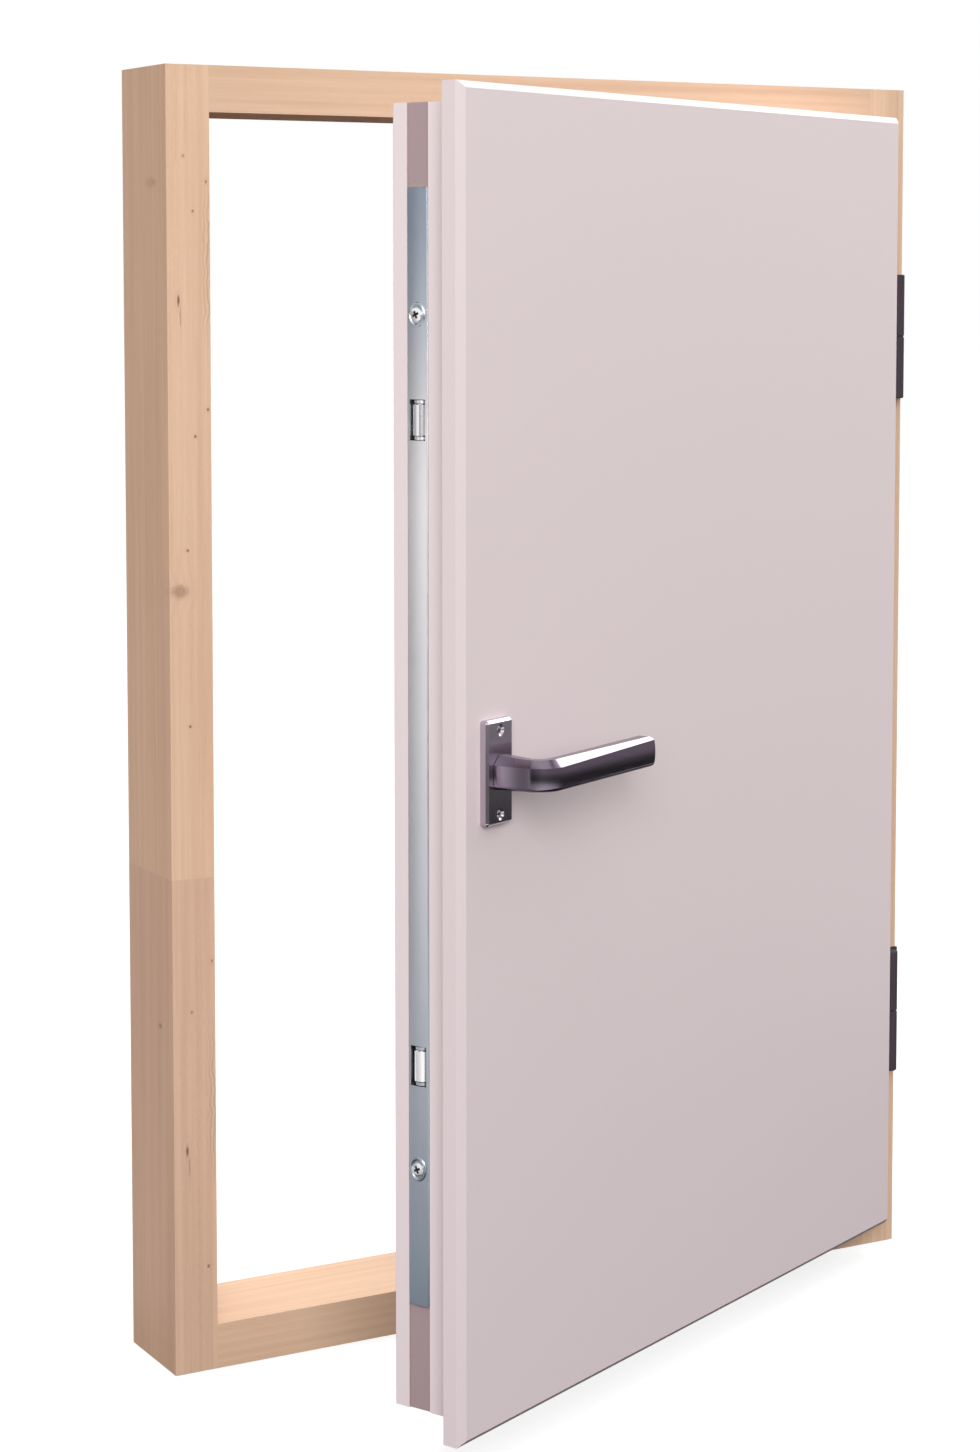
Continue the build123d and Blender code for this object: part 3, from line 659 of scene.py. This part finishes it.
# Screws
def leaf_box(node_name):
    """Lowest and highest corner of one of the leaf's solids, with the leaf turned shut."""
    to_shut = LEAF_TO_ROOM.inverted()
    corners = [to_shut @ vertex.co for vertex in frame["nodes"][node_name].data.vertices]
    return (Vector(min(c[i] for c in corners) for i in range(3)),
            Vector(max(c[i] for c in corners) for i in range(3)))


def facing(point, outwards):
    """Stands a shape that was made upright on a point of a surface, along the surface's outward direction."""
    return Matrix.Translation(point) @ Vector(outwards).to_track_quat("Z", "Y").to_matrix().to_4x4()


HEAD_SIDES = 40
CROSS_TURN = math.radians(24.0)
SHARP_ANGLE = math.radians(38.0)


def add_turned(mesh, outline, closed=False):
    """Spins a half outline once round Z."""
    points = [mesh.verts.new((x, 0.0, z)) for x, z in outline]
    following = points[1:] + points[:1] if closed else points[1:]
    edges = [mesh.edges.new(pair) for pair in zip(points, following)]
    bmesh.ops.spin(mesh, geom=points + edges, cent=(0, 0, 0), axis=(0, 0, 1), angle=math.tau,
                   steps=HEAD_SIDES, use_merge=True, use_duplicate=False)


def add_head(mesh, width, rise, depth, matrix):
    """A sunk screw head: a crowned top, a rim and a cone down to the shank, spun from its half outline."""
    radius = width / 2
    crown = ((0.0, rise), (0.45 * radius, 0.86 * rise), (0.78 * radius, 0.52 * rise),
             (0.96 * radius, 0.16 * rise))
    rim = ((radius, -0.04 * radius), (radius, -0.16 * radius))
    add_turned(mesh, (*crown, *rim, (0.42 * radius, -depth), (0.0, -depth)))
    bmesh.ops.remove_doubles(mesh, verts=mesh.verts, dist=1e-7)
    bmesh.ops.transform(mesh, matrix=matrix, verts=[v for v in mesh.verts if not v.tag])
    for vertex in mesh.verts:
        vertex.tag = True


def add_cross(mesh, width, rise, matrix):
    """The solid that a cross recess takes out of a head: two tapered blades."""
    span, thickness, deep = 0.66 * width, 0.19 * width, 0.2 * width
    for turn in (0.0, math.pi / 2):
        blade = bmesh.ops.create_cube(mesh, size=1.0)["verts"]
        for vertex in blade:
            narrowing = 1.0 if vertex.co.z > 0 else 0.45
            level = 1.4 * rise + 0.1 * MM if vertex.co.z > 0 else rise - deep
            vertex.co = Vector((vertex.co.x * span * narrowing,
                                vertex.co.y * thickness * (0.4 + 0.6 * narrowing), level))
        turned = matrix @ Matrix.Rotation(turn + CROSS_TURN, 4, "Z")
        bmesh.ops.transform(mesh, matrix=turned, verts=blade)
    # The recess faces take the second slot, the painted shade.
    for face in mesh.faces:
        face.material_index = 1


def object_from(mesh, name, materials):
    bmesh.ops.recalc_face_normals(mesh, faces=mesh.faces)
    data = bpy.data.meshes.new(name)
    for material in materials:
        data.materials.append(material)
    mesh.to_mesh(data)
    mesh.free()
    made = bpy.data.objects.new(name, data)
    bpy.context.scene.collection.objects.link(made)
    return made


def cut_away(piece, cutter):
    """Takes the cutter out of the piece, and the cutter out of the scene."""
    modifier = piece.modifiers.new("recess", "BOOLEAN")
    modifier.object = cutter
    modifier.operation = "DIFFERENCE"
    modifier.solver = "EXACT"
    modifier.use_self = True
    evaluated = piece.evaluated_get(bpy.context.evaluated_depsgraph_get())
    cut = bpy.data.meshes.new_from_object(evaluated)
    piece.modifiers.clear()
    piece.data = cut
    bpy.data.objects.remove(cutter)


def finish_piece(piece, body):
    """Smooth shading and the body that the piece rides on."""
    if not piece.data.polygons:
        raise RuntimeError(f"{piece.name} came out empty")
    piece.data.shade_smooth()
    piece.data.set_sharp_from_angle(angle=SHARP_ANGLE)
    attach(piece, body)


def recess_shade(finishes):
    """Painted shade for the dark bottom of a cross recess: a near-black, matt coat with a mottle."""
    known = bpy.data.materials.get("screw_recess_painted_shade")
    if known:
        return known
    material, tree, shader, spot = new_material("screw_recess_painted_shade")
    shade_mottle = use_group(tree, "Mottle", {"Vector": spot, "Slow": 300.0, "Fine": 2400.0, "Amount": 0.5})
    set_inputs(tree, shader, {"Base Color": times(tree, opaque(finishes.recess), shade_mottle["Tone"]),
                              "Roughness": 0.7, "Specular IOR Level": 0.1})
    return material


def make_screws(name, places, width, rise, depth, body, materials):
    """Crossed screw heads at the given places, as one piece that rides on a body."""
    heads, crosses = bmesh.new(), bmesh.new()
    for matrix in places:
        add_head(heads, width, rise, depth, matrix)
        add_cross(crosses, width, rise, matrix)
    piece = object_from(heads, name, materials)
    cut_away(piece, object_from(crosses, name + "_recess", materials))
    finish_piece(piece, body)


def make_washer(name, width, rise, head_width, matrix, body, material):
    """An oval cup washer: a rolled rim that slopes out to the sheet and in under the screw's head."""
    mesh = bmesh.new()
    outer, inner = width / 2, 0.46 * head_width
    lip = 0.55 * outer + 0.45 * inner
    cup = ((inner, 0.25 * rise), (0.6 * inner + 0.4 * lip, 0.72 * rise), (lip, rise))
    slope = ((0.5 * (lip + outer), 0.86 * rise), (0.93 * outer, 0.4 * rise), (outer, 0.0))
    add_turned(mesh, (*cup, *slope, (outer, -0.3 * rise), (inner, -0.3 * rise)), closed=True)
    bmesh.ops.transform(mesh, matrix=matrix @ Matrix.Diagonal((1.0, 1.3, 1.0, 1.0)), verts=mesh.verts)
    finish_piece(object_from(mesh, name, [material]), body)


class CRAWLDOOR_OT_lock_screws(Operator):
    """Model the two raised screws and cup washers that hold the lock rail, and the strikes' screws"""
    bl_idname = "crawl_door.lock_screws"
    bl_label = "Add lock screws"

    def execute(self, context):
        finishes, screws = context.scene.crawl_door.finishes, context.scene.crawl_door.screws
        steel = (turned_steel("zinc_screw", finishes.polished, 0.24), recess_shade(finishes))
        sheet = bpy.data.materials["galvanised_sheet"]
        low, high = leaf_box("lock_rail")
        middle = (low.y + high.y) / 2
        for level, z in (("upper", high.z - screws.rail_from_top), ("lower", low.z + screws.rail_from_foot)):
            seat = LEAF_TO_ROOM @ facing((low.x + 0.1 * MM, middle, z), (-1, 0, 0))
            raised = seat @ Matrix.Translation((0.0, 0.0, 0.7 * screws.washer_rise))
            make_screws(f"{level}_rail_screw", [raised], screws.rail_head, screws.rail_rise, 2.0 * MM, "leaf",
                        steel)
            make_washer(f"{level}_rail_washer", screws.washer_width, screws.washer_rise, screws.rail_head,
                        seat, "leaf", sheet)
            low_strike, high_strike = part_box(f"{level}_strike")
            ends = (low_strike.z + screws.strike_edge, high_strike.z - screws.strike_edge)
            across = (low_strike.y + high_strike.y) / 2
            seats = [facing((high_strike.x, across, end), (1, 0, 0)) for end in ends]
            make_screws(f"{level}_strike_screws", seats, screws.flush_head, screws.flush_rise, 1.5 * MM,
                        "frame", steel)
        return {"FINISHED"}


class CRAWLDOOR_OT_handle_screws(Operator):
    """Model the two sunk screws of the handle plate"""
    bl_idname = "crawl_door.handle_screws"
    bl_label = "Add handle screws"

    def execute(self, context):
        finishes, screws = context.scene.crawl_door.finishes, context.scene.crawl_door.screws
        steel = (turned_steel("plate_screw_steel", finishes.polished, 0.16), recess_shade(finishes))
        low, high = leaf_box("handle_plate")
        centre = (low + high) / 2
        for level, side in (("upper", 1), ("lower", -1)):
            point = (centre.x, low.y + screws.plate_sink, centre.z + side * screws.plate_spacing / 2)
            make_screws(f"{level}_plate_screw", [LEAF_TO_ROOM @ facing(point, (0, -1, 0))], screws.plate_head,
                        0.3 * MM, 1.2 * MM, "leaf", steel)
        return {"FINISHED"}


class CRAWLDOOR_OT_hinge_screws(Operator):
    """Model the flush screws of the hinges, three in each frame plate and three in each leaf plate"""
    bl_idname = "crawl_door.hinge_screws"
    bl_label = "Add hinge screws"

    def execute(self, context):
        finishes, screws = context.scene.crawl_door.finishes, context.scene.crawl_door.screws
        dark = (powder_coat("hinge_screw_coat", finishes.hinge), recess_shade(finishes))
        for level in ("upper", "lower"):
            self.frame_plate(level, screws, dark)
            self.leaf_plate(level, screws, dark)
        return {"FINISHED"}

    def frame_plate(self, level, screws, materials):
        """Two heads beside the barrel on the outer strip, and one on the inner strip below the tongue."""
        low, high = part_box(f"{level}_hinge_frame_half")
        middle = (low.z + high.z) / 2
        face = high.y - 2.5 * MM
        outer, inner = high.x - screws.plate_edge, low.x + screws.plate_edge
        spots = ((outer, middle + screws.hinge_spread), (outer, middle - screws.hinge_spread),
                 (inner, middle - screws.hinge_spread))
        seats = [facing((x, face, z), (0, -1, 0)) for x, z in spots]
        make_screws(f"{level}_hinge_frame_screws", seats, screws.flush_head, screws.flush_rise, 1.5 * MM,
                    "frame", materials)

    def leaf_plate(self, level, screws, materials):
        """Three heads down the cheek that is let into the rebate."""
        low, high = leaf_box(f"{level}_hinge_leaf_half")
        middle = (low.z + high.z) / 2
        side = leaf_box("hinge_stile")[1].x
        depth = high.y - 10 * MM
        seats = [LEAF_TO_ROOM @ facing((side, depth, middle + step * screws.hinge_spread), (1, 0, 0))
                 for step in (-1, 0, 1)]
        make_screws(f"{level}_hinge_leaf_screws", seats, screws.flush_head, screws.flush_rise, 1.2 * MM,
                    "leaf", materials)


# Studio
CAMERA_PLACE = (-1.22727, -2.13095, 0.84408)
CAMERA_TURN = (math.radians(85.605), 0.0, math.radians(-29.124))
CAMERA_SHIFT = -0.15187
FILM_WIDTH = 36.0


class CRAWLDOOR_OT_stage(Operator):
    """Set up the pale floor, the grey cards that metal reflects, the lamps, the room light and the camera"""
    bl_idname = "crawl_door.stage"
    bl_label = "Set stage"

    def execute(self, context):
        studio = context.scene.crawl_door.studio
        context.scene.view_settings.view_transform = "Standard"
        self.floor()
        self.curved_flag("front_flag", (-0.20, -0.35), 1.6, (-68.0, 95.0), 0.9, "Z", (0.20, 0.31),
                         (0.01, 0.36))
        self.curved_flag("back_flag", (-0.24, -0.33), 1.2, (-160.0, -75.0), 1.1, "Y", (0.30, -0.30),
                         (0.42, 1.0))
        self.flat_flag("left_foot_flag", (-0.95, -0.20, FRAME_LOW.z - 0.3 * MM), 0.60, 0.66)
        self.flat_flag("right_foot_flag", (0.35, -0.35, FRAME_LOW.z - 0.2 * MM), 0.85, 0.05)
        self.flat_flag("right_ceiling_flag", (0.22, -0.36, 1.35), 0.20, 0.05)
        self.flat_flag("left_ceiling_flag", (-0.62, 0.02, 1.35), 0.26, 0.05)
        self.room(context.scene, studio.ceiling, studio.walls)
        self.lamp("key_lamp", (-3.42, -7.12, 3.6), (0.0, -0.15, 0.5), 4.4, studio.key)
        self.lamp("sill_lamp", (-0.1, 0.9, 2.4), (-0.1, 0.0, 0.0), 0.8, studio.sill)
        self.lamp("rim_lamp", (1.79, 0.15, 1.94), (-0.2, -0.35, 0.5), 0.9, studio.rim)
        self.camera(context.scene, studio.lens)
        return {"FINISHED"}

    def seen(self, tree):
        """One for rays that show the stage itself: from the camera, off gloss or through glass."""
        path = tree.nodes.new("ShaderNodeLightPath").outputs
        seen = maths(tree, "MAXIMUM", path["Is Camera Ray"], path["Is Glossy Ray"])
        return maths(tree, "MAXIMUM", seen, path["Is Transmission Ray"])

    def floor(self):
        """A wide pale disc at the sill's underside, that looks white and keeps the door's soft shadow."""
        mesh = bmesh.new()
        bmesh.ops.create_circle(mesh, cap_ends=True, segments=96, radius=30.0,
                                matrix=Matrix.Translation((0.0, 0.0, FRAME_LOW.z - 0.5 * MM)))
        material = bpy.data.materials.new("pale_floor")
        material.use_nodes = True
        tree = material.node_tree
        tree.nodes.clear()
        spot = tree.nodes.new("ShaderNodeTexCoord").outputs["Object"]
        grey = ranged(tree, noise(tree, spot, 1.3), 0.3, 0.7, 0.27, 0.29)
        pale = place(tree, "ShaderNodeBsdfDiffuse", {"Color": grey})
        glow = place(tree, "ShaderNodeEmission", {"Color": (1.0, 1.0, 1.0, 1.0), "Strength": 0.79})
        white = place(tree, "ShaderNodeAddShader", {0: pale.outputs[0], 1: glow.outputs[0]})
        dim = place(tree, "ShaderNodeBsdfDiffuse", {"Color": (0.05, 0.048, 0.048, 1.0)})
        either = place(tree, "ShaderNodeMixShader", {0: self.seen(tree), 1: dim.outputs[0],
                                                     2: white.outputs[0]})
        place(tree, "ShaderNodeOutputMaterial", {"Surface": either.outputs[0]})
        object_from(mesh, "floor", [material])

    def curved_flag(self, name, centre, radius, span, height, axis, ends, levels):
        """A grey curved card round a point, shaded along one axis, so that upright metal reads as metal."""
        mesh = bmesh.new()
        first = mesh.verts.new((centre[0] + radius * math.sin(math.radians(span[0])),
                                centre[1] - radius * math.cos(math.radians(span[0])), FRAME_LOW.z))
        second = mesh.verts.new(first.co + Vector((0.0, 0.0, height)))
        bmesh.ops.spin(mesh, geom=[first, second, mesh.edges.new((first, second))], cent=(*centre, 0.0),
                       axis=(0, 0, 1), angle=math.radians(span[1] - span[0]), steps=24)
        self.flag(mesh, name, axis, ends, levels)

    def flat_flag(self, name, centre, radius, level):
        """A grey level disc, so that metal that faces up or down has something dark to show."""
        mesh = bmesh.new()
        bmesh.ops.create_circle(mesh, cap_ends=True, segments=64, radius=radius,
                                matrix=Matrix.Translation(centre))
        self.flag(mesh, name, "X", (0.0, 1.0), (level, level))

    def flag(self, mesh, name, axis, ends, levels):
        """Makes a card that only gloss sees, with its own grey from one end to the other."""
        material = bpy.data.materials.new(f"{name}_cloth")
        material.use_nodes = True
        tree = material.node_tree
        tree.nodes.clear()
        spot = tree.nodes.new("ShaderNodeTexCoord").outputs["Object"]
        level = ranged(tree, split(tree, spot)[axis], *ends, *levels, "LINEAR")
        glow = place(tree, "ShaderNodeEmission", {"Color": (1.0, 0.97, 1.0, 1.0), "Strength": level})
        place(tree, "ShaderNodeOutputMaterial", {"Surface": glow.outputs[0]})
        card = object_from(mesh, name, [material])
        card.visible_camera = False
        card.visible_diffuse = False
        card.visible_shadow = False
        card.visible_transmission = False

    def room(self, scene, ceiling, walls):
        """Soft light that grows from the walls to the ceiling, and shows as plain white behind the door."""
        world = bpy.data.worlds.new("studio_room")
        world.use_nodes = True
        tree = world.node_tree
        tree.nodes.clear()
        towards = tree.nodes.new("ShaderNodeTexCoord").outputs["Generated"]
        soft = ranged(tree, split(tree, towards)["Z"], 0.0, 0.85, walls, ceiling, "LINEAR")
        level = place(tree, "ShaderNodeMix", {0: self.seen(tree), 2: soft, 3: 1.0}).outputs[0]
        light = place(tree, "ShaderNodeBackground", {"Color": (1.0, 1.0, 1.0, 1.0), "Strength": level})
        place(tree, "ShaderNodeOutputWorld", {"Surface": light.outputs[0]})
        scene.world = world

    def lamp(self, name, position, target, size, power):
        lamp = bpy.data.lights.new(name, "AREA")
        lamp.shape = "SQUARE"
        lamp.size = size
        lamp.energy = power
        holder = bpy.data.objects.new(name, lamp)
        holder.location = position
        aim = Vector(target) - Vector(position)
        holder.rotation_euler = aim.to_track_quat("-Z", "Y").to_euler()
        holder.visible_camera = False
        bpy.context.scene.collection.objects.link(holder)

    def camera(self, scene, lens):
        """The camera: left of the door, a little below the door's top, with its lens shifted down."""
        camera = bpy.data.cameras.new("camera")
        camera.lens = lens
        camera.sensor_width = FILM_WIDTH
        camera.shift_y = CAMERA_SHIFT
        holder = bpy.data.objects.new("camera", camera)
        holder.location = CAMERA_PLACE
        holder.rotation_euler = CAMERA_TURN
        scene.collection.objects.link(holder)
        scene.camera = holder


OPERATORS = (CRAWLDOOR_OT_timber, CRAWLDOOR_OT_leaf, CRAWLDOOR_OT_lock, CRAWLDOOR_OT_handle,
             CRAWLDOOR_OT_hinges, CRAWLDOOR_OT_lock_screws, CRAWLDOOR_OT_handle_screws,
             CRAWLDOOR_OT_hinge_screws, CRAWLDOOR_OT_stage)


class CRAWLDOOR_PT_panel(Panel):
    """Lists the door's steps and settings"""
    bl_label = "Crawl space door"
    bl_idname = "CRAWLDOOR_PT_panel"
    bl_space_type = "VIEW_3D"
    bl_region_type = "UI"
    bl_category = "Crawl door"

    def draw(self, context):
        settings = context.scene.crawl_door
        for operator in OPERATORS:
            self.layout.operator(operator.bl_idname)
        for group in (settings.finishes, settings.screws, settings.studio):
            box = self.layout.box()
            for name in group.__annotations__:
                box.prop(group, name)


CLASSES = (CRAWLDOOR_PG_finishes, CRAWLDOOR_PG_screws, CRAWLDOOR_PG_studio, CRAWLDOOR_PG_settings,
           *OPERATORS, CRAWLDOOR_PT_panel)


def register():
    for made in CLASSES:
        bpy.utils.register_class(made)
    bpy.types.Scene.crawl_door = PointerProperty(type=CRAWLDOOR_PG_settings)


def unregister():
    del bpy.types.Scene.crawl_door
    for made in reversed(CLASSES):
        bpy.utils.unregister_class(made)


def main():
    register()
    bpy.ops.crawl_door.timber()
    bpy.ops.crawl_door.leaf()
    bpy.ops.crawl_door.lock()
    bpy.ops.crawl_door.handle()
    bpy.ops.crawl_door.hinges()
    bpy.ops.crawl_door.lock_screws()
    bpy.ops.crawl_door.handle_screws()
    bpy.ops.crawl_door.hinge_screws()
    bpy.ops.crawl_door.stage()


if __name__ == "__main__":
    main()
